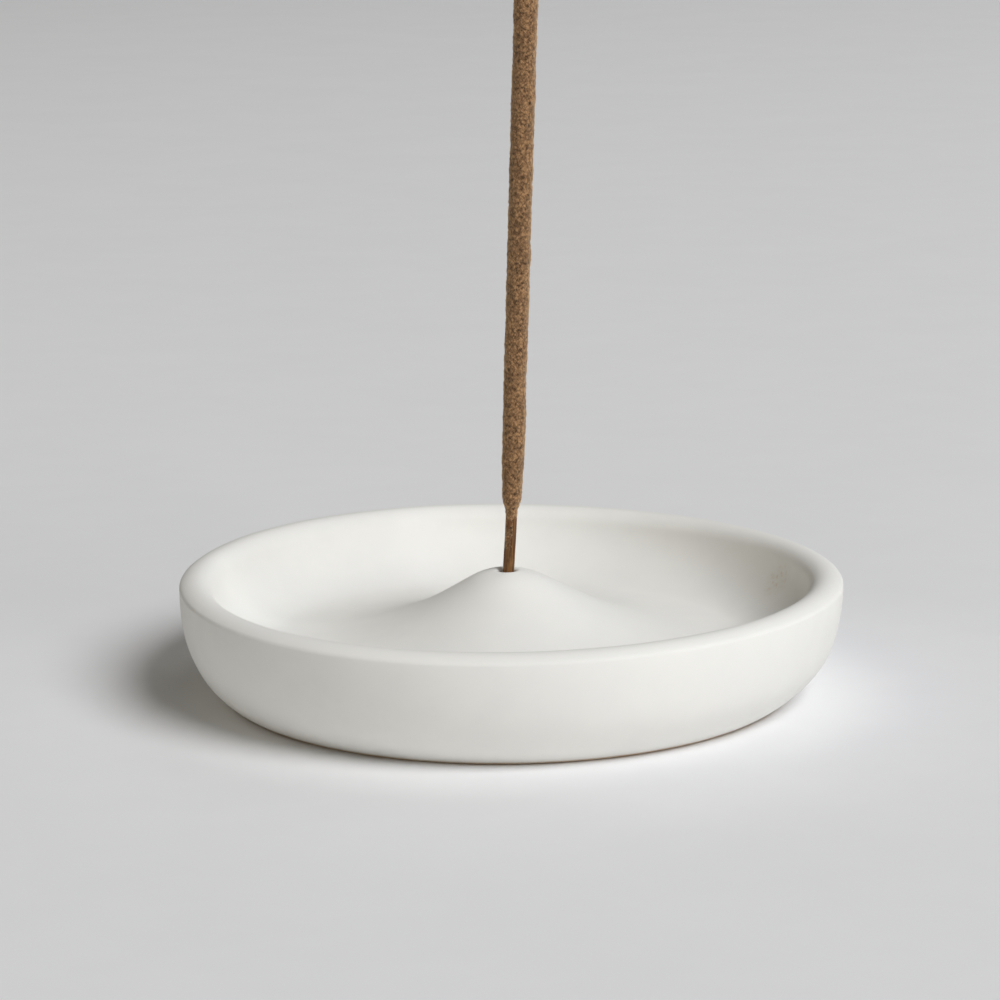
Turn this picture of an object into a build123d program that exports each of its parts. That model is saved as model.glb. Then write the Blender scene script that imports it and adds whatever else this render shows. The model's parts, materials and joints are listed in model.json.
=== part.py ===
from build123d import *
import os
from math import atan, cos, degrees, radians, sin

# Incense stick holder: a shallow round ceramic dish whose floor rises to a pierced mound,
# and the hand-rolled incense stick that stands in the hole, leaning as far as it allows.
# Millimetres, +Z up, origin on the table under the middle of the dish.

# Dish, outside
dish_diameter = 100.0  # across the widest line of the wall
dish_height = 17.4  # crest of the lip above the table
foot_inset = 10.0  # from the widest line in to the outer edge of the foot
wall_joint_angle = 36.0  # degrees, where the heel's tight arc meets the wall's slack one
lip_outer_width = 2.5  # from the widest line in to the crest
lip_outer_drop = 1.4  # from the crest down to the widest line
lip_joint_angle = 53.0  # degrees, where the edge's tight arc meets the crest's slack one

# Dish, inside
lip_inner_round = 2.0  # from the crest in and down to the inner wall
floor_thickness = 5.2  # clay under the lowest ring of the well
mound_rise = 12.0  # mound above the lowest ring of the well
mound_flank_share = 0.6  # how much steeper the flank is than a straight cone, of the cone's angle
mound_crown_share = 0.21  # radius of the round crown, of the crown's and skirt's radii together

# Dish, underside
foot_ring_width = 4.5  # flat ring that stands on the table
foot_recess = 1.0  # hollow inside the ring
recess_slope_width = 2.0  # slope from the ring up to the hollow
foot_edge_round = 0.6  # inner edge of the ring

# Hole for the stick, pierced by hand a little off the middle
hole_offset = 0.4
hole_depth = 8.4  # below the top of the mound
hole_clearance = 0.64  # hole diameter over splint diameter
hole_mouth_round = 0.5

# Incense stick
splint_diameter = 1.66
splint_end_chamfer = 0.12
stick_length = 200.0  # end of the splint to the tip of the paste
bare_above_mound = 8.1  # splint that shows between the mound and the paste
bend_length = 3.0  # stretch just under the paste where the splint is bent
bend_angle = 1.7  # degrees, back towards upright
seat_gap = 0.04  # between the splint and the wall and floor of the hole
bond_gap = 0.01  # between the paste and the splint

# Paste rolled on the splint
paste_collar_wall = 0.12  # paste at its lowest edge
neck_length = 2.8  # steep swell at the lower end
neck_wall = 0.75  # paste that the swell heads for
shoulder_length = 8.0  # gentle swell above the neck
paste_wall = 0.86  # paste at the top of the shoulder
tip_wall = 1.06  # paste just under the rounded tip
tip_round = 1.3
tip_cap = 1.6  # paste over the end of the splint

quarter_turn = 90.0  # degrees


def quarter_oval(run, rise, joint_angle):
    """Radii of the two tangent arcs that turn from level to upright over a run and a rise."""
    level_part = cos(radians(joint_angle))
    upright_part = sin(radians(joint_angle))
    spare = level_part + upright_part - 1
    level_radius = (run * upright_part - rise * (1 - level_part)) / spare
    upright_radius = (rise * level_part - run * (1 - upright_part)) / spare
    return level_radius, upright_radius


# Levels and radii of the dish
dish_radius = dish_diameter / 2
foot_radius = dish_radius - foot_inset
ring_inner_radius = foot_radius - foot_ring_width
recess_radius = ring_inner_radius - recess_slope_width
belly_height = dish_height - lip_outer_drop
crest_radius = dish_radius - lip_outer_width
floor_height = foot_recess + floor_thickness
well_round = dish_height - lip_inner_round - floor_height
well_radius = crest_radius - lip_inner_round - well_round
hole_diameter = splint_diameter + hole_clearance

# Arcs of the wall and the lip, and the mound's round crown, straight flank and flared skirt
heel_radius, wall_radius = quarter_oval(foot_inset, belly_height, wall_joint_angle)
lip_radius, edge_radius = quarter_oval(lip_outer_width, lip_outer_drop, lip_joint_angle)
mound_height = floor_height + mound_rise
flank_angle = atan(mound_rise / well_radius) * (1 + mound_flank_share)
flank_turn = degrees(flank_angle)
curve_radii = (well_radius * sin(flank_angle) - mound_rise * cos(flank_angle)) / (1 - cos(flank_angle))
crown_radius = curve_radii * mound_crown_share
skirt_radius = curve_radii - crown_radius
hole_floor = mound_height - hole_depth

# The splint leans until it bears on the mouth at one side and on the foot of the hole at the other
lean_angle = atan((hole_clearance - seat_gap - seat_gap) / hole_depth)
coat_angle = lean_angle - radians(bend_angle)
splint_radius = splint_diameter / 2
bend_middle_angle = (lean_angle + coat_angle) / 2
bend_chord = 2 * bend_length / radians(bend_angle) * sin(radians(bend_angle) / 2)
bare_length = hole_depth + bare_above_mound
coat_length = stick_length - bare_length
bore_length = coat_length - tip_cap
bore_radius = splint_radius + bond_gap
tip_radius = bore_radius + tip_wall
bare_direction = Vector(sin(lean_angle), 0, cos(lean_angle))
bend_direction = Vector(sin(bend_middle_angle), 0, cos(bend_middle_angle))
coat_direction = Vector(sin(coat_angle), 0, cos(coat_angle))
splint_end = Vector(
    -hole_offset - hole_diameter / 2 + seat_gap + splint_radius / cos(lean_angle),
    0,
    hole_floor + seat_gap + splint_radius * sin(lean_angle),
)
bend_start = splint_end + bare_direction * (bare_length - bend_length)
coat_start = bend_start + bend_direction * bend_chord

# Dish: one turned profile of lines and tangent arcs, from the foot over the lip to the mound
with BuildPart() as dish:
    with BuildSketch(Plane.XZ):
        with BuildLine():
            Polyline(
                (0, mound_height),
                (0, foot_recess),
                (recess_radius, foot_recess),
                (ring_inner_radius, 0),
                (foot_radius, 0),
            )
            heel = CenterArc(
                (foot_radius, heel_radius), heel_radius, -quarter_turn, quarter_turn - wall_joint_angle
            )
            wall = CenterArc(
                (dish_radius - wall_radius, belly_height), wall_radius, -wall_joint_angle, wall_joint_angle
            )
            edge = CenterArc((dish_radius - edge_radius, belly_height), edge_radius, 0, lip_joint_angle)
            crest = CenterArc(
                (crest_radius, dish_height - lip_radius),
                lip_radius,
                lip_joint_angle,
                quarter_turn - lip_joint_angle,
            )
            CenterArc(
                (crest_radius, dish_height - lip_inner_round), lip_inner_round, quarter_turn, quarter_turn
            )
            CenterArc((well_radius, floor_height + well_round), well_round, 0, -quarter_turn)
            skirt = CenterArc(
                (well_radius, floor_height + skirt_radius), skirt_radius, -quarter_turn, -flank_turn
            )
            crown = CenterArc((0, mound_height - crown_radius), crown_radius, quarter_turn, -flank_turn)
            Line(skirt @ 1, crown @ 1)
        make_face()
    revolve(axis=Axis.Z)
    with Locations((-hole_offset, 0, mound_height)):
        Hole(hole_diameter / 2, hole_depth)
    mouth = dish.edges(Select.LAST).sort_by(Axis.Z)[-1]
    fillet(mouth, hole_mouth_round)
    ring_edge = dish.faces().sort_by(Axis.Z)[0].edges().sort_by(SortBy.RADIUS)[0]
    fillet(ring_edge, foot_edge_round)

# Splint: a straight bare end in the hole, a slight bend, then straight through the paste
with BuildPart() as bamboo_core:
    with BuildLine() as splint_path:
        Line(splint_end, bend_start)
        TangentArc(bend_start, coat_start, tangent=bare_direction)
        Line(coat_start, coat_start + coat_direction * bore_length)
    with BuildSketch(Plane(splint_end, z_dir=bare_direction)):
        Circle(splint_radius)
    sweep(path=splint_path.line)
    chamfer(bamboo_core.faces().sort_by(Axis.Z)[0].edges(), splint_end_chamfer)

# Paste: turned about the upper stretch of the splint, with a tapered neck and a closed round tip
coat_plane = Plane(coat_start, x_dir=coat_direction.cross(Vector(0, 1, 0)) * -1, z_dir=(0, -1, 0))
with BuildPart() as incense_paste:
    with BuildSketch(coat_plane):
        with BuildLine():
            Line((bore_radius, 0), (bore_radius + paste_collar_wall, 0))
            Bezier(
                (bore_radius + paste_collar_wall, 0),
                (bore_radius + neck_wall, neck_length),
                (bore_radius + paste_wall, neck_length + shoulder_length),
            )
            Line(
                (bore_radius + paste_wall, neck_length + shoulder_length),
                (tip_radius, coat_length - tip_round),
            )
            CenterArc((tip_radius - tip_round, coat_length - tip_round), tip_round, 0, quarter_turn)
            Polyline(
                (tip_radius - tip_round, coat_length),
                (0, coat_length),
                (0, bore_length + bond_gap),
                (bore_radius, bore_length + bond_gap),
                (bore_radius, 0),
            )
        make_face()
    revolve(axis=Axis(coat_start, coat_direction))

dish.part.label = "dish"
bamboo_core.part.label = "bamboo_core"
incense_paste.part.label = "incense_paste"

os.makedirs("parts", exist_ok=True)
export_step(dish.part, "parts/dish.step")
export_step(bamboo_core.part, "parts/bamboo_core.step")
export_step(incense_paste.part, "parts/incense_paste.step")
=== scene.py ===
"""Incense stick holder: a white bisque dish with a pierced mound, and the incense stick standing in it."""

import json
import logging
import math
from collections.abc import Callable
from dataclasses import dataclass, field
from enum import Enum

import bpy
from mathutils import Matrix, Vector


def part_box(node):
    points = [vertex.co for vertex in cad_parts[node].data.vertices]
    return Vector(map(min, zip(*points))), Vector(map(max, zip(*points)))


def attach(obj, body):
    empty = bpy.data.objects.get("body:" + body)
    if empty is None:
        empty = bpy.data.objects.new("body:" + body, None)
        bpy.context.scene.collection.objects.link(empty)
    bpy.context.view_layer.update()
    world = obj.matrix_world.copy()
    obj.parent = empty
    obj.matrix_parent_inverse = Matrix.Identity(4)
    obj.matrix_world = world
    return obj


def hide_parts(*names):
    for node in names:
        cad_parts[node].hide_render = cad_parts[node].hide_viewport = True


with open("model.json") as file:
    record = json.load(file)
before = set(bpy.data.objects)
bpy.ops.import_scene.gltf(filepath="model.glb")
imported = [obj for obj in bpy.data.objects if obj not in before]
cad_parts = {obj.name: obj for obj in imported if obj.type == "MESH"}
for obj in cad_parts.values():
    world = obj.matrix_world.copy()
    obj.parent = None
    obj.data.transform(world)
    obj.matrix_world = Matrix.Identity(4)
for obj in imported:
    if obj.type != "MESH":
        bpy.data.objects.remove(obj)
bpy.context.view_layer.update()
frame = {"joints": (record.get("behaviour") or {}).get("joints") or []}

QUARTER = math.pi / 2
UP = Vector((0, 0, 1))

Span = tuple[float, float]
Colour = tuple[float, float, float, float]
Piece = bpy.types.Object
Material = bpy.types.Material
Tree = bpy.types.NodeTree
Node = bpy.types.Node
Socket = bpy.types.NodeSocket

log = logging.getLogger("incense_holder")


def tint(red: int, green: int, blue: int) -> Colour:
    """Turn a screen colour into the linear colour that a shader takes.

    Args:
        red: Red from 0 to 255.
        green: Green from 0 to 255.
        blue: Blue from 0 to 255.

    Returns:
        Linear red, green and blue, and an opaque alpha.
    """
    def linear(level: int) -> float:
        """Linear light of one screen level, by the sRGB curve."""
        share = level / 255
        return share / 12.92 if share <= 0.04045 else ((share + 0.055) / 1.055) ** 2.4

    return linear(red), linear(green), linear(blue), 1.0


def smooth_step(value: float, low: float, high: float) -> float:
    """Blend from 0 at low to 1 at high with soft ends."""
    share = min(max((value - low) / (high - low), 0.0), 1.0)
    return share * share * (3 - 2 * share)


def arc(centre: Span, radius: float, start: float, sweep: float, steps: int) -> list[Vector]:
    """Points along an arc in a profile, without its first point.

    Args:
        centre: Radius and height of the arc's centre.
        radius: Radius of the arc.
        start: Angle of the first point, in radians.
        sweep: Angle that the arc turns through, with its sign.
        steps: Number of points.

    Returns:
        The points as (radius, height) vectors.
    """
    angles = [start + sweep * (step + 1) / steps for step in range(steps)]
    return [Vector((centre[0] + radius * math.cos(a), centre[1] + radius * math.sin(a))) for a in angles]


def run(start: Vector, end: Vector, steps: int) -> list[Vector]:
    """Evenly spaced points on a straight run, without its first point."""
    return [start.lerp(end, (step + 1) / steps) for step in range(steps)]


def quarter_oval(width: float, rise: float, joint_angle: float, slope: float = 0.0) -> Span:
    """Radii of the two tangent arcs that turn from level, or from a slope, to upright.

    Args:
        width: Level reach of the arcs.
        rise: Upright reach of the arcs.
        joint_angle: Angle where the arcs meet, in radians.
        slope: Slope that the first arc starts with, in radians.

    Returns:
        Radii of the arcs at the level end and at the upright end.
    """
    level = math.cos(joint_angle)
    upright = math.sin(joint_angle)
    spare = upright * (1 - math.sin(slope)) - math.cos(slope) * (1 - level)
    first = (width * upright - rise * (1 - level)) / spare
    second = (rise * (level - math.sin(slope)) - width * (math.cos(slope) - upright)) / spare
    return first, second


class Bench:
    """Hand tools that every piece is made with."""

    seed_size: float = 0.001
    weld_gap: float = 0.000002

    @staticmethod
    def pick(piece: Piece) -> None:
        """Select a piece alone and make it active.

        Args:
            piece: The piece.
        """
        bpy.ops.object.select_all(action="DESELECT")
        piece.select_set(True)
        bpy.context.view_layer.objects.active = piece

    @staticmethod
    def start_point(name: str, place: Vector) -> Piece:
        """Begin a piece as a single vertex and stay in edit mode.

        Args:
            name: Name of the piece.
            place: Place of the vertex.

        Returns:
            The new piece, at the origin.
        """
        bpy.ops.mesh.primitive_plane_add(size=Bench.seed_size, location=(0, 0, 0))
        piece = bpy.context.object
        piece.name = name
        piece.data.name = name
        bpy.ops.object.mode_set(mode="EDIT")
        bpy.ops.mesh.merge(type="CENTER")
        bpy.ops.transform.translate(value=place)
        return piece

    @staticmethod
    def turn(name: str, profile: list[Vector], base: Vector, axis: Vector, steps: int) -> Piece:
        """Turn a profile about an axis, as on a lathe.

        Args:
            name: Name of the piece.
            profile: Points as (radius, height along the axis).
            base: Point on the axis where the height is zero.
            axis: Direction of the axis, in the plane of X and Z.
            steps: Number of steps round the axis.

        Returns:
            The turned piece, closed, faces outwards.
        """
        side = Vector((axis.z, 0, -axis.x))
        places = [base + side * point.x + axis * point.y for point in profile]
        piece = Bench.start_point(name, places[0])
        for last, place in zip(places, places[1:]):
            bpy.ops.mesh.extrude_region_move(TRANSFORM_OT_translate={"value": place - last})
        bpy.ops.mesh.select_all(action="SELECT")
        bpy.ops.mesh.spin(steps=steps, angle=math.tau, center=base, axis=axis)
        bpy.ops.mesh.select_all(action="SELECT")
        bpy.ops.mesh.remove_doubles(threshold=Bench.weld_gap)
        bpy.ops.mesh.normals_make_consistent(inside=False)
        bpy.ops.object.mode_set(mode="OBJECT")
        return piece

    @staticmethod
    def weigh(piece: Piece, name: str, weight_of: Callable[[Vector], float]) -> None:
        """Give a piece a vertex group whose weights follow a rule.

        Args:
            piece: The piece.
            name: Name of the group.
            weight_of: Rule that gives a weight from 0 to 1 for a place.
        """
        group = piece.vertex_groups.new(name=name)
        for vertex in piece.data.vertices:
            weight = weight_of(vertex.co)
            if weight > 0:
                group.add([vertex.index], weight, "REPLACE")

    @staticmethod
    def displace(piece: Piece, strength: float, texture: bpy.types.Texture | None = None, group: str = "",
                 direction: str = "NORMAL", middle: float = 0.5) -> None:
        """Push a piece's surface by a texture and bake the result into its mesh.

        Args:
            piece: The piece.
            strength: Push where the texture is one above its middle.
            texture: Texture to follow, or none for an even push.
            group: Vertex group that limits the push.
            direction: Axis of the push, or NORMAL.
            middle: Texture level that isn't pushed.
        """
        modifier = piece.modifiers.new("push", "DISPLACE")
        modifier.strength = strength
        modifier.direction = direction
        modifier.mid_level = middle
        modifier.vertex_group = group
        if texture is not None:
            modifier.texture = texture
            modifier.texture_coords = "LOCAL"
        Bench.pick(piece)
        bpy.ops.object.modifier_apply(modifier=modifier.name)

    @staticmethod
    def shift(piece: Piece, group: str, direction: str, distance: float) -> None:
        """Move a vertex group along an axis, each point by its weight."""
        Bench.displace(piece, distance, group=group, direction=direction, middle=0.0)

    @staticmethod
    def clouds(name: str, size: float, depth: int = 2) -> bpy.types.Texture:
        """Make a soft noise.

        Args:
            name: Name of the texture.
            size: Size of its features.
            depth: Number of finer layers in it.

        Returns:
            The texture.
        """
        texture = bpy.data.textures.new(name, "CLOUDS")
        texture.noise_scale = size
        texture.noise_depth = depth
        return texture

    @staticmethod
    def smooth(piece: Piece, crease: float) -> None:
        """Shade a piece smooth, except across edges sharper than an angle in degrees."""
        Bench.pick(piece)
        bpy.ops.object.shade_smooth_by_angle(angle=math.radians(crease))


@dataclass
class Nodes:
    """Builder for one node tree."""

    tree: Tree

    # Several sockets of a mix node share a name, so its colour sockets are told by number.
    mix_inputs = (0, 6, 7)
    mix_output = 2

    def add(self, kind: str, **settings: object) -> Node:
        """Add a node.

        Args:
            kind: Node type.
            settings: Properties of the node by name.

        Returns:
            The node.
        """
        node = self.tree.nodes.new(kind)
        for name, value in settings.items():
            setattr(node, name, value)
        return node

    def put(self, socket: Socket, source: object) -> None:
        """Link an input from a socket, or set it to a plain value.

        Args:
            socket: The input.
            source: The socket or value.
        """
        if isinstance(source, Socket):
            self.tree.links.new(source, socket)
        else:
            socket.default_value = source

    def fill(self, node: Node, *sources: object) -> Node:
        """Give a node its inputs in order.

        Args:
            node: The node.
            sources: Sockets to link from, or plain values.

        Returns:
            The same node.
        """
        for socket, source in zip(node.inputs, sources):
            self.put(socket, source)
        return node

    def feed(self, node: Node, **inputs: object) -> Node:
        """Give a node its inputs by name, with _ for a blank.

        Args:
            node: The node.
            inputs: Sockets to link from, or plain values.

        Returns:
            The same node.
        """
        for name, source in inputs.items():
            self.put(node.inputs[name.replace("_", " ")], source)
        return node

    def place(self) -> Socket:
        """Place on the piece, in metres."""
        return self.add("ShaderNodeTexCoord").outputs["Object"]

    def math(self, operation: str, *terms: object) -> Socket:
        """Work out a value from sockets and numbers."""
        return self.fill(self.add("ShaderNodeMath", operation=operation), *terms).outputs[0]

    def ramp(self, value: Socket, levels: Span, results: Span = (0.0, 1.0)) -> Socket:
        """Map a value softly from between two levels to between two results."""
        node = self.add("ShaderNodeMapRange", interpolation_type="SMOOTHSTEP")
        return self.fill(node, value, *levels, *results).outputs["Result"]

    def blend(self, share: Socket, first: object, second: object) -> Socket:
        """Mix two colours.

        Args:
            share: Socket of the second colour's share.
            first: Socket or colour at 0.
            second: Socket or colour at 1.

        Returns:
            Socket of the mixed colour.
        """
        node = self.add("ShaderNodeMix", data_type="RGBA")
        for index, source in zip(self.mix_inputs, (share, first, second)):
            self.put(node.inputs[index], source)
        return node.outputs[self.mix_output]


class Effect(Enum):
    """Surface effects that several finishes share."""

    MOTTLE = "soft_mottle"
    SPECKS = "scattered_specks"
    FIBRES = "lengthwise_fibres"
    GRAINS = "packed_grains"


@dataclass
class EffectShop:
    """Makes each shared effect once, as a node group."""

    fine_ratio: float = 3.7
    fine_share: float = 0.4
    least_speck: float = 0.3
    speck_core: float = 0.4
    grain_edge: float = 0.8
    grain_core: float = 0.3
    grain_share: float = 0.55
    groups: dict[Effect, Tree] = field(init=False)

    def __post_init__(self) -> None:
        """Build the groups."""
        self.groups = {
            Effect.MOTTLE: self.mottle(),
            Effect.SPECKS: self.specks(),
            Effect.FIBRES: self.fibres(),
            Effect.GRAINS: self.grains(),
        }

    @staticmethod
    def blank(effect: Effect, **usual: float) -> tuple[Nodes, list[Socket], Node]:
        """Start a group that takes a place and some values and gives one value.

        Args:
            effect: The effect.
            usual: Usual values of the further inputs, by name.

        Returns:
            The group's builder, the sockets of its inputs and its output node.
        """
        tree = bpy.data.node_groups.new(effect.value, "ShaderNodeTree")
        tree.interface.new_socket(name="Place", in_out="INPUT", socket_type="NodeSocketVector")
        for name, value in usual.items():
            socket = tree.interface.new_socket(name=name, in_out="INPUT", socket_type="NodeSocketFloat")
            socket.default_value = value
        tree.interface.new_socket(name="Value", in_out="OUTPUT", socket_type="NodeSocketFloat")
        nodes = Nodes(tree)
        given = nodes.add("NodeGroupInput").outputs
        return nodes, [given[name] for name in ("Place", *usual)], nodes.add("NodeGroupOutput")

    def mottle(self) -> Tree:
        """Make soft noise of two sizes.

        Returns:
            The group.
        """
        nodes, (place, scale), outputs = self.blank(Effect.MOTTLE, Scale=100.0)
        broad = nodes.feed(nodes.add("ShaderNodeTexNoise"), Vector=place, Scale=scale, Detail=2.0)
        fine_scale = nodes.math("MULTIPLY", scale, self.fine_ratio)
        fine = nodes.feed(nodes.add("ShaderNodeTexNoise"), Vector=place, Scale=fine_scale, Detail=3.0)
        rest = nodes.math("MULTIPLY", broad.outputs["Fac"], 1 - self.fine_share)
        nodes.feed(outputs, Value=nodes.math("MULTIPLY_ADD", fine.outputs["Fac"], self.fine_share, rest))
        return nodes.tree

    def specks(self) -> Tree:
        """Scatter round specks: a share of the cells has one, of its own size.

        Returns:
            The group.
        """
        nodes, sockets, outputs = self.blank(Effect.SPECKS, Scale=300.0, Reach=0.2, Share=0.1)
        place, scale, reach, share = sockets
        cells = nodes.feed(nodes.add("ShaderNodeTexVoronoi"), Vector=place, Scale=scale)
        lot = nodes.feed(nodes.add("ShaderNodeSeparateColor"), Color=cells.outputs["Color"])
        chosen = nodes.math("LESS_THAN", lot.outputs["Red"], share)
        size = nodes.math("ADD", lot.outputs["Green"], self.least_speck)
        near = nodes.math("DIVIDE", cells.outputs["Distance"], nodes.math("MULTIPLY", reach, size))
        nodes.feed(outputs, Value=nodes.math("MULTIPLY", chosen, nodes.ramp(near, (1.0, self.speck_core))))
        return nodes.tree

    def fibres(self) -> Tree:
        """Draw fine noise out along the stick.

        Returns:
            The group.
        """
        nodes, (place, scale, stretch), outputs = self.blank(Effect.FIBRES, Scale=1500.0, Stretch=12.0)
        factors = nodes.fill(nodes.add("ShaderNodeCombineXYZ"), 1.0, 1.0, stretch)
        drawn = nodes.fill(nodes.add("ShaderNodeVectorMath", operation="DIVIDE"), place, factors.outputs[0])
        noise = nodes.add("ShaderNodeTexNoise")
        nodes.feed(noise, Vector=drawn.outputs[0], Scale=scale, Detail=3.0, Roughness=0.6)
        nodes.feed(outputs, Value=noise.outputs["Fac"])
        return nodes.tree

    def grains(self) -> Tree:
        """Pack grains: each has a level of its own, and the gaps between them are low.

        Returns:
            The group.
        """
        nodes, (place, scale, warp), outputs = self.blank(Effect.GRAINS, Scale=2300.0, Warp=0.0003)
        wander = nodes.feed(nodes.add("ShaderNodeTexNoise"), Vector=place, Scale=scale, Detail=1.0)
        warped = nodes.add("ShaderNodeVectorMath", operation="MULTIPLY_ADD")
        nodes.fill(warped, wander.outputs["Color"], warp, place)
        cells = nodes.feed(nodes.add("ShaderNodeTexVoronoi"), Vector=warped.outputs[0], Scale=scale)
        lot = nodes.feed(nodes.add("ShaderNodeSeparateColor"), Color=cells.outputs["Color"])
        body = nodes.ramp(cells.outputs["Distance"], (self.grain_edge, self.grain_core))
        rest = nodes.math("MULTIPLY", body, 1 - self.grain_share)
        nodes.feed(outputs, Value=nodes.math("MULTIPLY_ADD", lot.outputs["Red"], self.grain_share, rest))
        return nodes.tree


@dataclass(frozen=True)
class Layer:
    """A colour laid over another by an effect, with what the effect takes after the place."""

    colour: Colour
    effect: Effect
    values: tuple[float, ...]
    strength: float
    levels: Span | None = None


@dataclass(frozen=True)
class Finish:
    """A surface finish: its plain values, and a material that a subclass paints."""

    shop: EffectShop
    name: str
    specular: float = 0.3
    roughness: Span = (0.8, 0.9)
    relief: float = 0.1
    relief_depth: float = 0.0001
    soft: Span = (0.3, 0.7)
    wide: Span = (0.2, 0.8)

    def start(self) -> tuple[Material, Nodes, Node]:
        """Make an empty material.

        Returns:
            The material, its builder and its shader.
        """
        material = bpy.data.materials.new(self.name)
        material.use_nodes = True
        nodes = Nodes(material.node_tree)
        shader = material.node_tree.nodes["Principled BSDF"]
        nodes.feed(shader, Specular_IOR_Level=self.specular)
        return material, nodes, shader

    def effect(self, nodes: Nodes, effect: Effect, *inputs: object) -> Socket:
        """Place a shared effect, with its inputs in order."""
        node = nodes.add("ShaderNodeGroup", node_tree=self.shop.groups[effect])
        return nodes.fill(node, *inputs).outputs[0]

    def lay(self, nodes: Nodes, place: Socket, colour: Socket, layer: Layer) -> tuple[Socket, Socket]:
        """Lay a second colour over a first one.

        Args:
            nodes: The material's builder.
            place: Socket of the place on the piece.
            colour: Socket of the first colour.
            layer: The second colour and its effect.

        Returns:
            Sockets of the new colour and of the layer's mask.
        """
        mask = self.effect(nodes, layer.effect, place, *layer.values)
        if layer.levels is not None:
            mask = nodes.ramp(mask, layer.levels)
        return nodes.blend(nodes.math("MULTIPLY", mask, layer.strength), colour, layer.colour), mask

    def bump(self, nodes: Nodes, shader: Node, height: Socket) -> None:
        """Give the shader a fine relief.

        Args:
            nodes: The material's builder.
            shader: The shader.
            height: Socket of the relief's height from 0 to 1.
        """
        relief = nodes.add("ShaderNodeBump")
        nodes.feed(relief, Height=height, Strength=self.relief, Distance=self.relief_depth)
        nodes.feed(shader, Normal=relief.outputs["Normal"])


@dataclass(frozen=True)
class Bisque(Finish):
    """White unglazed clay, finely sanded, with a warm tan painted contact shade at the foot and a small
    stain in the bowl.
    """

    name: str = "bisque"
    specular: float = 0.25
    roughness: Span = (0.78, 0.9)
    relief: float = 0.12
    clay: Colour = tint(247, 246, 241)
    cool_clay: Colour = tint(244, 243, 239)
    tone_scale: float = 70.0
    grain_scale: float = 1600.0
    specks: Layer = Layer(tint(176, 150, 124), Effect.SPECKS, (170, 0.05, 0.05), strength=0.4)
    stain: Colour = tint(206, 170, 122)
    stain_place: Vector = Vector((0.0423, 0.0147, 0.0118))
    stain_reach: float = 0.0044
    stain_scale: float = 1100.0
    stain_levels: Span = (0.5, 0.64)
    stain_haze: float = 0.15
    stain_strength: float = 0.5
    # Painted shade: warm tan on the lowest part of the heel stands in for the warm shade where the foot
    # meets the floor.
    contact_shade_tint: Colour = tint(222, 192, 156)
    contact_shade_height: float = 0.0008
    least_contact_shade: float = 0.6

    def material(self) -> Material:
        """Paint the clay.

        Returns:
            The material.
        """
        material, nodes, shader = self.start()
        place = nodes.place()
        tone = self.effect(nodes, Effect.MOTTLE, place, self.tone_scale)
        colour = nodes.blend(nodes.ramp(tone, self.soft), self.clay, self.cool_clay)
        colour, _ = self.lay(nodes, place, colour, self.specks)
        colour = nodes.blend(self.stained(nodes, place), colour, self.stain)
        height = nodes.fill(nodes.add("ShaderNodeSeparateXYZ"), place)
        # Painted shade: the heel turns warm tan below a set height, at a randomly varied strength, for the
        # shade along the contact line.
        low = nodes.ramp(height.outputs["Z"], (self.contact_shade_height, 0.0))
        contact_shade_share = nodes.math("MULTIPLY", low, nodes.ramp(tone, self.soft, (self.least_contact_shade, 1.0)))
        colour = nodes.blend(contact_shade_share, colour, self.contact_shade_tint)
        nodes.feed(shader, Base_Color=colour, Roughness=nodes.ramp(tone, self.wide, self.roughness))
        self.bump(nodes, shader, self.effect(nodes, Effect.MOTTLE, place, self.grain_scale))
        return material

    def stained(self, nodes: Nodes, place: Socket) -> Socket:
        """Lay out the blots of the stain.

        Args:
            nodes: The material's builder.
            place: Socket of the place on the piece.

        Returns:
            Socket of the stain's share.
        """
        away = nodes.fill(nodes.add("ShaderNodeVectorMath", operation="DISTANCE"), place, self.stain_place)
        patch = nodes.ramp(away.outputs["Value"], (self.stain_reach, 0.0))
        blots = self.effect(nodes, Effect.MOTTLE, place, self.stain_scale)
        mask = nodes.math("MULTIPLY", patch, nodes.ramp(blots, self.stain_levels, (self.stain_haze, 1.0)))
        return nodes.math("MULTIPLY", mask, self.stain_strength)


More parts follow.
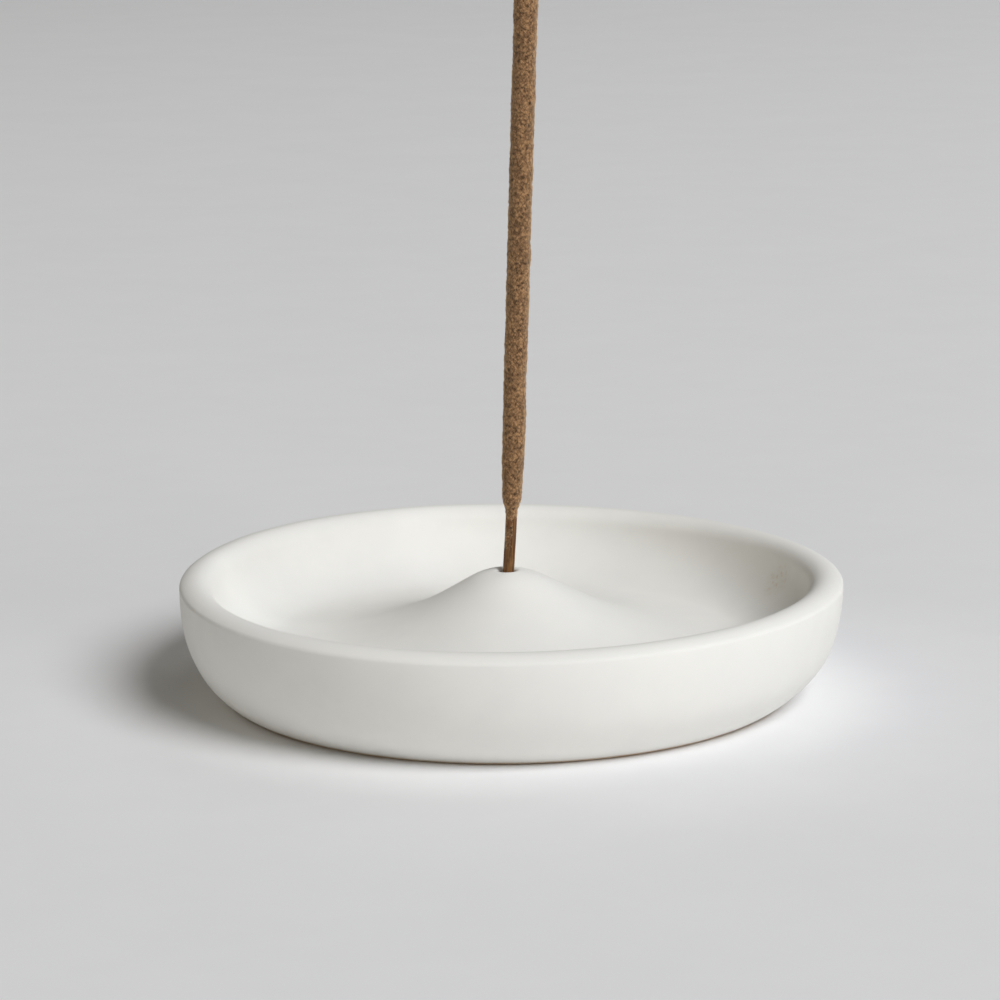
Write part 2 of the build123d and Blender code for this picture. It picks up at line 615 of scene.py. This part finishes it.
@dataclass(frozen=True)
class Incense(Finish):
    """Dry brown paste of wood powder, with crumbs, pits with painted shade, and short fibres."""

    name: str = "incense"
    specular: float = 0.15
    roughness: Span = (0.85, 0.98)
    relief: float = 0.6
    relief_depth: float = 0.0002
    dark: Colour = tint(74, 52, 34)
    brown: Colour = tint(131, 98, 68)
    brown_levels: Span = (0.38, 0.5)
    pale: Colour = tint(178, 138, 97)
    pale_levels: Span = (0.5, 0.62)
    grain_scale: float = 2300.0
    grain_warp: float = 0.0003
    grain_share: float = 0.2
    stroke_turn: float = math.radians(38)
    stroke_scale: float = 6000.0
    stroke_stretch: float = 4.0
    stroke_share: float = 0.4
    patches: Layer = Layer(dark, Effect.MOTTLE, (260,), strength=0.3, levels=(0.48, 0.7))
    flecks: Layer = Layer(tint(126, 82, 51), Effect.SPECKS, (1100, 0.4, 0.12), strength=0.5)
    # The pits' dark colour is painted shade in the hollows; their mask also sinks them in the relief.
    pits: Layer = Layer(tint(48, 33, 22), Effect.SPECKS, (1500, 0.45, 0.16), strength=0.7)
    pit_drop: float = 0.5
    dust: Colour = tint(255, 224, 186)
    dust_weight: float = 0.9
    dust_spread: float = 0.5

    def material(self) -> Material:
        """Paint the paste.

        Returns:
            The material.
        """
        material, nodes, shader = self.start()
        place = nodes.place()
        grains = self.effect(nodes, Effect.GRAINS, place, self.grain_scale, self.grain_warp)
        falling = self.strokes(nodes, place, self.stroke_turn)
        rising = nodes.math("MULTIPLY", self.strokes(nodes, place, -self.stroke_turn), self.stroke_share)
        crossed = nodes.math("MULTIPLY_ADD", falling, self.stroke_share, rising)
        level = nodes.math("MULTIPLY_ADD", grains, self.grain_share, crossed)
        colour = nodes.blend(nodes.ramp(level, self.brown_levels), self.dark, self.brown)
        colour = nodes.blend(nodes.ramp(level, self.pale_levels), colour, self.pale)
        colour, _ = self.lay(nodes, place, colour, self.patches)
        colour, _ = self.lay(nodes, place, colour, self.flecks)
        # Painted shade: darken the pits.
        colour, pits = self.lay(nodes, place, colour, self.pits)
        nodes.feed(shader, Base_Color=colour, Roughness=nodes.ramp(level, self.wide, self.roughness))
        nodes.feed(shader, Sheen_Weight=self.dust_weight, Sheen_Roughness=self.dust_spread,
                   Sheen_Tint=self.dust)
        self.bump(nodes, shader, nodes.math("SUBTRACT", level, nodes.math("MULTIPLY", pits, self.pit_drop)))
        return material

    def strokes(self, nodes: Nodes, place: Socket, turn: float) -> Socket:
        """Draw short fibres that slant by an angle, as rolling leaves them."""
        slant = nodes.feed(nodes.add("ShaderNodeMapping"), Vector=place, Rotation=(0.0, turn, 0.0))
        return self.effect(nodes, Effect.FIBRES, slant.outputs[0], self.stroke_scale, self.stroke_stretch)


@dataclass(frozen=True)
class Bamboo(Finish):
    """Stained split bamboo with lengthwise fibres."""

    name: str = "bamboo"
    roughness: Span = (0.55, 0.75)
    relief: float = 0.4
    lean: float = 0.0
    dark: Colour = tint(76, 51, 30)
    brown: Colour = tint(138, 97, 56)
    fibre_scale: float = 3200.0
    fibre_stretch: float = 26.0
    fibre_levels: Span = (0.36, 0.6)
    strips: Layer = Layer(tint(132, 80, 42), Effect.FIBRES, (1100, 14), strength=0.6, levels=(0.5, 0.66))
    patches: Layer = Layer(tint(160, 116, 68), Effect.MOTTLE, (420,), strength=0.45, levels=(0.5, 0.72))

    def material(self) -> Material:
        """Paint the wood.

        Returns:
            The material.
        """
        material, nodes, shader = self.start()
        upright = nodes.add("ShaderNodeMapping")
        place = nodes.feed(upright, Vector=nodes.place(), Rotation=(0.0, -self.lean, 0.0)).outputs[0]
        fibre = self.effect(nodes, Effect.FIBRES, place, self.fibre_scale, self.fibre_stretch)
        colour = nodes.blend(nodes.ramp(fibre, self.fibre_levels), self.dark, self.brown)
        colour, _ = self.lay(nodes, place, colour, self.strips)
        colour, _ = self.lay(nodes, place, colour, self.patches)
        nodes.feed(shader, Base_Color=colour, Roughness=nodes.ramp(fibre, self.soft, self.roughness))
        self.bump(nodes, shader, fibre)
        return material


@dataclass(frozen=True)
class Paper(Finish):
    """Pale studio paper under the dish."""

    name: str = "studio_paper"
    specular: float = 0.2
    roughness: Span = (0.88, 0.95)
    tone: Colour = tint(245, 245, 246)
    second_tone: Colour = tint(243, 243, 244)
    cloud_scale: float = 30.0

    def material(self) -> Material:
        """Paint the paper.

        Returns:
            The material.
        """
        material, nodes, shader = self.start()
        cloud = self.effect(nodes, Effect.MOTTLE, nodes.place(), self.cloud_scale)
        colour = nodes.blend(nodes.ramp(cloud, self.soft), self.tone, self.second_tone)
        nodes.feed(shader, Base_Color=colour, Roughness=nodes.ramp(cloud, self.wide, self.roughness))
        return material


@dataclass
class Dish:
    """The bisque dish: foot ring, soft wall and lip, rounded well and pierced mound."""

    shop: EffectShop
    outer_radius: float
    height: float = 0.0174
    foot_inset: float = 0.0079
    heel_slope: float = math.radians(29)
    wall_joint: float = math.radians(16)
    lip_outer_width: float = 0.0025
    lip_outer_drop: float = 0.0014
    lip_joint: float = math.radians(53)
    lip_inner_round: float = 0.0026
    inner_slope: float = math.radians(80)
    floor_height: float = 0.0070
    mound_height: float = 0.0180
    crown_round: float = 0.0120
    flank: float = math.radians(29.6)
    foot_ring_width: float = 0.0066
    foot_recess: float = 0.0010
    recess_slope: float = 0.0020
    hole_radius: float = 0.00115
    hole_depth: float = 0.0082
    hole_mouth_round: float = 0.0008
    hole_offset: float = 0.0005
    offset_reach: Span = (0.0025, 0.0130)
    wave: float = 0.00012
    wave_size: float = 0.022
    wave_reach: Span = (0.004, 0.012)
    wave_rise: Span = (0.0005, 0.006)
    rim_lift: float = 0.00009
    rim_tilt: float = 0.00032
    rim_tilt_side: float = math.radians(-121)
    rim_twist: float = 0.00030
    rim_twist_side: float = math.radians(-36)
    rim_rise: Span = (0.004, 0.016)
    rim_reach: Span = (0.036, 0.045)
    rim_flat: float = 0.00025
    flat_reach: Span = (0.030, 0.050)
    flat_rise: Span = (0.008, 0.0155)
    foot_drift: float = 0.00050
    foot_drift_height: float = 0.0070
    turning_steps: int = 256
    crease: float = 50

    def outside(self) -> list[Vector]:
        """Draw the profile from the middle of the underside to the crest of the lip.

        Returns:
            Points as (radius, height).
        """
        foot = self.outer_radius - self.foot_inset
        ring = foot - self.foot_ring_width
        belly = self.height - self.lip_outer_drop
        crest = self.outer_radius - self.lip_outer_width
        slope = self.heel_slope
        heel_radius, wall_radius = quarter_oval(self.foot_inset, belly, self.wall_joint, slope)
        lip_radius, edge_radius = quarter_oval(self.lip_outer_width, self.lip_outer_drop, self.lip_joint)
        heel_middle = (foot - heel_radius * math.sin(slope), heel_radius * math.cos(slope))
        heel_sweep = QUARTER - self.wall_joint - slope
        wall_middle = (self.outer_radius - wall_radius, belly)
        edge_middle = (self.outer_radius - edge_radius, belly)
        lip_middle = (crest, self.height - lip_radius)
        points = [Vector((0, self.foot_recess))]
        points += run(points[-1], Vector((ring - self.recess_slope, self.foot_recess)), steps=8)
        points += run(points[-1], Vector((ring, 0)), steps=5)
        points += run(points[-1], Vector((foot, 0)), steps=4)
        points += arc(heel_middle, heel_radius, slope - QUARTER, heel_sweep, steps=18)
        points += arc(wall_middle, wall_radius, -self.wall_joint, self.wall_joint, steps=16)
        points += arc(edge_middle, edge_radius, 0, self.lip_joint, steps=10)
        points += arc(lip_middle, lip_radius, self.lip_joint, QUARTER - self.lip_joint, steps=8)
        return points

    def inside(self) -> list[Vector]:
        """Draw the profile from the lip through the well and up the mound into the hole's mouth.

        Returns:
            Points as (radius, height).
        """
        crest = self.outer_radius - self.lip_outer_width
        drop = self.height - self.floor_height
        well_round = drop / (1 - math.cos(self.inner_slope)) - self.lip_inner_round
        well = crest - drop / math.tan(self.inner_slope / 2)
        rise = self.mound_height - self.floor_height
        crown = self.crown_round
        crown_drop = crown * (1 - math.cos(self.flank))
        rounds = (well * math.sin(self.flank) - rise * math.cos(self.flank)) / (1 - math.cos(self.flank))
        skirt = rounds - crown
        mouth = self.hole_mouth_round
        mouth_slope = math.asin((self.hole_radius + mouth) / (crown - mouth))
        lip_middle = (crest, self.height - self.lip_inner_round)
        well_middle = (well, self.floor_height + well_round)
        skirt_middle = (well, self.floor_height + skirt)
        crown_middle = (0, self.mound_height - crown)
        crown_start = Vector((crown * math.sin(self.flank), self.mound_height - crown_drop))
        points = arc(lip_middle, self.lip_inner_round, QUARTER, self.inner_slope, steps=12)
        points += arc(well_middle, well_round, self.inner_slope - QUARTER, -self.inner_slope, steps=24)
        points += arc(skirt_middle, skirt, -QUARTER, -self.flank, steps=24)
        points += run(points[-1], crown_start, steps=10)
        points += arc(crown_middle, crown, QUARTER - self.flank, self.flank - mouth_slope, steps=14)
        mouth_middle = (self.hole_radius + mouth, points[-1].y - mouth * math.cos(mouth_slope))
        points += arc(mouth_middle, mouth, QUARTER - mouth_slope, QUARTER + mouth_slope, steps=10)
        return points

    def hole(self) -> list[Vector]:
        """Draw the profile from the foot of the mouth down the hole to the middle of its floor.

        Returns:
            Points as (radius, height).
        """
        floor = self.mound_height - self.hole_depth
        points = run(self.inside()[-1], Vector((self.hole_radius, floor)), steps=10)
        return points + run(points[-1], Vector((0, floor)), steps=3)

    def shift_of(self, place: Vector) -> float:
        """How much of the hole's offset a place takes: none down the mound and on the underside."""
        share = 1 - smooth_step(math.hypot(place.x, place.y), *self.offset_reach)
        return share if place.z > self.foot_recess * 2 else 0.0

    def wave_of(self, place: Vector) -> float:
        """How much of the hand-made unevenness a place takes: none at the foot and the hole."""
        radius = math.hypot(place.x, place.y)
        return smooth_step(radius, *self.wave_reach) * smooth_step(place.z, *self.wave_rise)

    def sway_of(self, place: Vector) -> float:
        """Tell how far the hand-made rim stands above or below a level one.

        Args:
            place: The place.

        Returns:
            The height, in metres, which fades out towards the foot and the well.
        """
        turn = math.atan2(place.y, place.x)
        sway = self.rim_lift + self.rim_tilt * math.cos(turn - self.rim_tilt_side)
        sway += self.rim_twist * math.cos(2 * (turn - self.rim_twist_side))
        radius = math.hypot(place.x, place.y)
        return sway * smooth_step(place.z, *self.rim_rise) * smooth_step(radius, *self.rim_reach)

    def flat_of(self, place: Vector) -> float:
        """How much of the rim's flatter left side a place takes."""
        return smooth_step(-place.x, *self.flat_reach) * smooth_step(place.z, *self.flat_rise)

    def drift_of(self, place: Vector) -> float:
        """How much of the foot's drift to the left a place takes: all on the table, none in the well."""
        return 1 - smooth_step(place.z, 0, self.foot_drift_height)

    def build(self) -> Piece:
        """Turn the dish, pierce it off centre and give it the slight unevenness of hand work.

        Returns:
            The dish.
        """
        profile = self.outside() + self.inside() + self.hole()
        piece = Bench.turn("bisque_dish", profile, Vector((0, 0, 0)), UP, self.turning_steps)
        Bench.weigh(piece, "crown", self.shift_of)
        Bench.shift(piece, "crown", "X", -self.hole_offset)
        Bench.weigh(piece, "body", self.wave_of)
        Bench.displace(piece, self.wave, Bench.clouds("hand_wave", self.wave_size), "body")
        most = self.rim_lift + self.rim_tilt + self.rim_twist
        Bench.weigh(piece, "high", lambda place: max(self.sway_of(place), 0) / most)
        Bench.weigh(piece, "low", lambda place: max(-self.sway_of(place), 0) / most)
        Bench.weigh(piece, "flat", self.flat_of)
        Bench.weigh(piece, "drift", self.drift_of)
        Bench.shift(piece, "high", "Z", most)
        Bench.shift(piece, "low", "Z", -most)
        Bench.shift(piece, "flat", "X", self.rim_flat)
        Bench.shift(piece, "drift", "X", -self.foot_drift)
        piece.vertex_groups.clear()
        Bench.smooth(piece, self.crease)
        piece.data.materials.append(Bisque(self.shop).material())
        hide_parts("dish")
        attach(piece, "dish")
        return piece


@dataclass(frozen=True)
class Lumps:
    """Lumps of one size on the rolled paste."""

    name: str
    height: float
    size: float
    depth: int


@dataclass
class Stick:
    """The incense stick: a bamboo splint and the paste rolled on it."""

    shop: EffectShop
    dish: Dish
    lean: float
    length: float = 0.2000
    seat_gap: float = 0.00004
    bare_above_mound: float = 0.0083
    bend_length: float = 0.0030
    bend_angle: float = math.radians(1.7)
    splint_radius: float = 0.00083
    splint_swell: float = 1.01
    splint_rough: float = 0.00003
    splint_wave: float = 0.00003
    splint_wave_size: float = 0.003
    splint_sides: int = 40
    splint_seed: int = 5
    splint_crease: float = 40
    tip_cap: float = 0.0016
    tip_radius: float = 0.0019
    tip_round: float = 0.0013
    collar: float = 0.0003
    neck_length: float = 0.0027
    neck_radius: float = 0.00147
    shoulder_start_share: float = 0.6
    shoulder_length: float = 0.0080
    shoulder_radius: float = 0.00170
    skin: float = 0.00006
    lining: float = 0.00018
    lining_height: float = 0.0020
    smear_length: float = 0.0062
    smear_height: float = 0.000156
    smear_grain: float = 0.0007
    smear_side: float = math.radians(-123)
    smear_top: float = 0.0005
    smear_edge: Span = (0.42, 0.75)
    smear_collar: Span = (-0.0012, -0.0002)
    smear_fade_share: float = 0.8
    crumb_rise: Span = (-0.0002, 0.0012)
    lumps: tuple[Lumps, ...] = (
        Lumps("rolled_lumps", height=0.00024, size=0.0042, depth=1),
        Lumps("small_lumps", height=0.00018, size=0.0012, depth=2),
        Lumps("grains", height=0.00016, size=0.00045, depth=1),
    )
    paste_sides: int = 76
    paste_step: float = 0.00017
    paste_crease: float = 60

    @staticmethod
    def along(angle: float) -> Vector:
        """Direction that leans to the right by an angle."""
        return Vector((math.sin(angle), 0, math.cos(angle)))

    @property
    def foot(self) -> Vector:
        """Middle of the splint's lower end, bearing on the foot of the hole.

        Returns:
            The place.
        """
        left = -self.dish.hole_offset - self.dish.hole_radius
        floor = self.dish.mound_height - self.dish.hole_depth
        inwards = self.seat_gap + self.splint_radius / math.cos(self.lean)
        upwards = self.seat_gap + self.splint_radius * math.sin(self.lean)
        return Vector((left + inwards, 0, floor + upwards))

    @property
    def bare_length(self) -> float:
        """Length of the splint below the paste."""
        return self.dish.hole_depth + self.bare_above_mound

    @property
    def bend_start(self) -> Vector:
        """Middle of the splint where its bend starts."""
        return self.foot + self.along(self.lean) * (self.bare_length - self.bend_length)

    @property
    def coat_start(self) -> Vector:
        """Middle of the paste's lower end."""
        return self.bend_start + self.along(self.lean - self.bend_angle / 2) * self.bend_length

    @property
    def coat_axis(self) -> Vector:
        """Direction of the stick above its bend."""
        return self.along(self.lean - self.bend_angle)

    def path(self) -> list[Vector]:
        """Draw the middle line of the splint, close-set where it is bare.

        Returns:
            Points from the foot to the upper end.
        """
        top = self.coat_start + self.coat_axis * (self.length - self.bare_length - self.tip_cap)
        line = [self.foot]
        line += run(line[-1], self.bend_start, steps=60)
        line += run(line[-1], self.coat_start, steps=12)
        return line + run(line[-1], top, steps=24)

    def build_splint(self) -> Piece:
        """Split the splint: a rough ring of fibre ends drawn out along the stick.

        Returns:
            The splint.
        """
        line = self.path()
        bpy.ops.mesh.primitive_circle_add(
            vertices=self.splint_sides, radius=self.splint_radius, fill_type="NGON", location=(0, 0, 0))
        piece = bpy.context.object
        piece.name = "bamboo_splint"
        piece.data.name = piece.name
        bpy.ops.object.mode_set(mode="EDIT")
        bpy.ops.mesh.select_all(action="SELECT")
        bpy.ops.transform.vertex_random(
            offset=self.splint_rough, uniform=1.0, normal=0.0, seed=self.splint_seed)
        bpy.ops.transform.resize(value=(self.splint_swell, self.splint_swell, 0), center_override=(0, 0, 0))
        bpy.ops.transform.translate(value=line[0])
        for last, place in zip(line, line[1:]):
            bpy.ops.mesh.extrude_region_move(TRANSFORM_OT_translate={"value": place - last})
        bpy.ops.mesh.select_all(action="SELECT")
        bpy.ops.mesh.normals_make_consistent(inside=False)
        bpy.ops.object.mode_set(mode="OBJECT")
        Bench.displace(piece, self.splint_wave, Bench.clouds("splint_wave", self.splint_wave_size))
        Bench.smooth(piece, self.splint_crease)
        piece.data.materials.append(Bamboo(self.shop, lean=self.lean).material())
        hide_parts("bamboo_core")
        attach(piece, "incense_stick")
        return piece

    def radius_at(self, height: float, coat_length: float) -> float:
        """Tell the radius of the paste before its lumps and crumbs.

        Args:
            height: Height above the paste's lower end, negative on the smear.
            coat_length: Length of the paste.

        Returns:
            The radius.
        """
        hidden = self.splint_radius - self.skin
        shoulder_start = self.neck_length * self.shoulder_start_share
        shoulder_end = self.neck_length + self.shoulder_length
        radius = hidden + (self.neck_radius - hidden) * smooth_step(height, -self.collar, self.neck_length)
        shoulder = smooth_step(height, shoulder_start, shoulder_end)
        radius += (self.shoulder_radius - self.neck_radius) * shoulder
        rest = max(height - shoulder_end, 0) / coat_length
        return radius + (self.tip_radius - self.shoulder_radius) * rest

    def paste_profile(self) -> list[Vector]:
        """Draw the profile of the paste from the end of its smear to the closed tip.

        Returns:
            Points as (radius, height above the paste's lower end).
        """
        coat_length = self.length - self.bare_length
        inner = self.splint_radius - self.lining
        shoulder_top = coat_length - self.tip_round
        count = round((shoulder_top + self.smear_length) / self.paste_step)
        heights = [-self.smear_length + self.paste_step * step for step in range(count + 1)]
        points = [Vector((0, self.lining_height)), Vector((inner, self.lining_height))]
        points += [Vector((inner, -self.smear_length))]
        points += [Vector((self.radius_at(height, coat_length), height)) for height in heights]
        top = points[-1]
        points += arc((top.x - self.tip_round, top.y), self.tip_round, 0, QUARTER, steps=10)
        return points + run(points[-1], Vector((0, points[-1].y)), steps=4)

    def above(self, place: Vector) -> float:
        """Height of a place above the paste's lower end, along the stick."""
        return (place - self.coat_start).dot(self.coat_axis)

    def drift_at(self, height: float) -> float:
        """Tell how far the bent splint lies left of the paste's own axis.

        Args:
            height: Height above the paste's lower end.

        Returns:
            The distance, which is zero above the paste's lower end.
        """
        below = max(-height, 0.0)
        bent = min(below, self.bend_length)
        return self.bend_angle * (bent * bent / (2 * self.bend_length) + below - bent)

    def drift_of(self, place: Vector) -> float:
        """Share of the smear's greatest drift at a place."""
        return self.drift_at(self.above(place)) / self.drift_at(-self.smear_length)

    def smear_of(self, place: Vector) -> float:
        """Tell how much paste is smeared down the splint: a ragged tongue towards the front left.

        Args:
            place: The place.

        Returns:
            The share of the smear's full height.
        """
        height = self.above(place)
        if height > self.smear_top:
            return 0.0
        middle = self.coat_start + self.coat_axis * height
        angle = math.atan2(place.y - middle.y, place.x - middle.x)
        tongue = smooth_step(math.cos(angle - self.smear_side), *self.smear_edge)
        collar = smooth_step(height, *self.smear_collar)
        fade = smooth_step(height, -self.smear_length, -self.smear_length * self.smear_fade_share)
        return max(tongue, collar) * fade

    def rough_of(self, place: Vector) -> float:
        """How much of the crumbs a place takes: none on the hidden skin."""
        return smooth_step(self.above(place), *self.crumb_rise)

    def build_paste(self) -> Piece:
        """Roll the paste: a turned coat with lumps, crumbs and pits, and a smear down the splint.

        Returns:
            The paste.
        """
        profile = self.paste_profile()
        piece = Bench.turn("paste_coat", profile, self.coat_start, self.coat_axis, self.paste_sides)
        Bench.weigh(piece, "coat", self.rough_of)
        Bench.weigh(piece, "smear", self.smear_of)
        Bench.weigh(piece, "drift", self.drift_of)
        Bench.shift(piece, "drift", "X", -self.drift_at(-self.smear_length))
        smear = Bench.clouds("smear_edge", self.smear_grain)
        Bench.displace(piece, self.smear_height, smear, "smear", middle=0.0)
        for lumps in self.lumps:
            Bench.displace(piece, lumps.height, Bench.clouds(lumps.name, lumps.size, lumps.depth), "coat")
        piece.vertex_groups.clear()
        Bench.smooth(piece, self.paste_crease)
        piece.data.materials.append(Incense(self.shop).material())
        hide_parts("incense_paste")
        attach(piece, "incense_stick")
        return piece


@dataclass(frozen=True)
class Softbox:
    """A large soft lamp aimed at the dish, with its angles in degrees."""

    name: str
    azimuth: float
    elevation: float
    power: float
    width: float = 2.6
    distance: float = 5.0
    colour: tuple[float, float, float] = (1.0, 1.0, 1.0)

    def hang(self, aim: Vector) -> None:
        """Put the lamp up, out of the camera's sight.

        Args:
            aim: Point that the lamp faces.
        """
        light = bpy.data.lights.new(self.name, "AREA")
        light.shape = "DISK"
        light.size = self.width
        light.energy = self.power
        light.color = self.colour
        lamp = bpy.data.objects.new(self.name, light)
        level = math.cos(math.radians(self.elevation)) * self.distance
        turn = math.radians(self.azimuth)
        height = math.sin(math.radians(self.elevation)) * self.distance
        lamp.location = aim + Vector((math.cos(turn) * level, math.sin(turn) * level, height))
        lamp.rotation_euler = (aim - lamp.location).to_track_quat("-Z", "Y").to_euler()
        lamp.visible_camera = False
        bpy.context.scene.collection.objects.link(lamp)


@dataclass
class Studio:
    """Floor, lamps, surroundings and camera."""

    shop: EffectShop
    floor_size: float = 8.0
    floor_cuts: int = 7
    camera_place: Vector = Vector((0, -0.53225, 0.14861))
    camera_aim: Vector = Vector((-0.00143, 0, 0.02858))
    camera_roll: float = -0.0104
    lens: float = 130.89
    sight: float = 20.0
    surround: Colour = (1.0, 0.95, 0.88, 1.0)
    surround_strength: float = 0.01
    backdrop: Colour = tint(196, 196, 198)
    lamp_aim: Vector = Vector((0, 0, 0.01))
    softboxes: tuple[Softbox, ...] = (
        Softbox("key_softbox", azimuth=-41, elevation=45, power=212, width=3.2, colour=(0.97, 0.98, 0.997)),
        Softbox("low_panel", azimuth=-110, elevation=8, power=33, colour=(1.0, 0.95, 0.85)),
        Softbox("low_strip", azimuth=-30, elevation=3, power=15, width=1.0, colour=(1.0, 0.98, 0.88)),
        Softbox("back_panel", azimuth=60, elevation=42, power=6.5, width=1.3, distance=2.5),
        Softbox("left_panel", azimuth=168, elevation=42, power=19.5, colour=(1.0, 0.93, 0.76)),
    )

    def lay_floor(self) -> Piece:
        """Roll out the paper floor.

        Returns:
            The floor.
        """
        bpy.ops.mesh.primitive_plane_add(size=self.floor_size, location=(0, 0, 0))
        floor = bpy.context.object
        floor.name = "paper_floor"
        bpy.ops.object.mode_set(mode="EDIT")
        bpy.ops.mesh.subdivide(number_cuts=self.floor_cuts)
        bpy.ops.object.mode_set(mode="OBJECT")
        floor.data.materials.append(Paper(self.shop).material())
        return floor

    def light(self) -> None:
        """Hang the softboxes and light the surroundings, which show in a plain pale tone."""
        for softbox in self.softboxes:
            softbox.hang(self.lamp_aim)
        world = bpy.data.worlds.new("pale_surround")
        bpy.context.scene.world = world
        world.use_nodes = True
        nodes = Nodes(world.node_tree)
        fill = world.node_tree.nodes["Background"]
        nodes.feed(fill, Color=self.surround, Strength=self.surround_strength)
        seen = nodes.feed(nodes.add("ShaderNodeBackground"), Color=self.backdrop, Strength=1.0)
        sighted = nodes.add("ShaderNodeLightPath").outputs["Is Camera Ray"]
        mix = nodes.fill(nodes.add("ShaderNodeMixShader"), sighted, fill.outputs[0], seen.outputs[0])
        nodes.feed(world.node_tree.nodes["World Output"], Surface=mix.outputs[0])

    def set_camera(self) -> None:
        """Stand the camera at the photo's viewing angle."""
        data = bpy.data.cameras.new("camera")
        data.lens = self.lens
        data.clip_end = self.sight
        camera = bpy.data.objects.new("camera", data)
        turn = (self.camera_aim - self.camera_place).to_track_quat("-Z", "Y").to_matrix().to_4x4()
        roll = Matrix.Rotation(self.camera_roll, 4, "Z")
        camera.matrix_world = Matrix.Translation(self.camera_place) @ turn @ roll
        bpy.context.scene.collection.objects.link(camera)
        bpy.context.scene.camera = camera

    def set_view(self) -> None:
        """Show colours plainly."""
        bpy.context.scene.view_settings.view_transform = "Standard"


def main() -> None:
    """Build the dish, the stick and the studio, and report each piece."""
    logging.basicConfig(level=logging.INFO, format="%(name)s: %(message)s")
    shop = EffectShop()
    low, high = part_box("dish")
    axis = Vector(frame["joints"][0]["axis"])
    dish = Dish(shop, outer_radius=(high.x - low.x) / 2)
    stick = Stick(shop, dish, lean=math.atan2(axis.x, axis.z))
    studio = Studio(shop)
    for piece in (dish.build(), stick.build_splint(), stick.build_paste(), studio.lay_floor()):
        log.info("%s: %d faces", piece.name, len(piece.data.polygons))
    studio.light()
    studio.set_camera()
    studio.set_view()


if __name__ == "__main__":
    main()
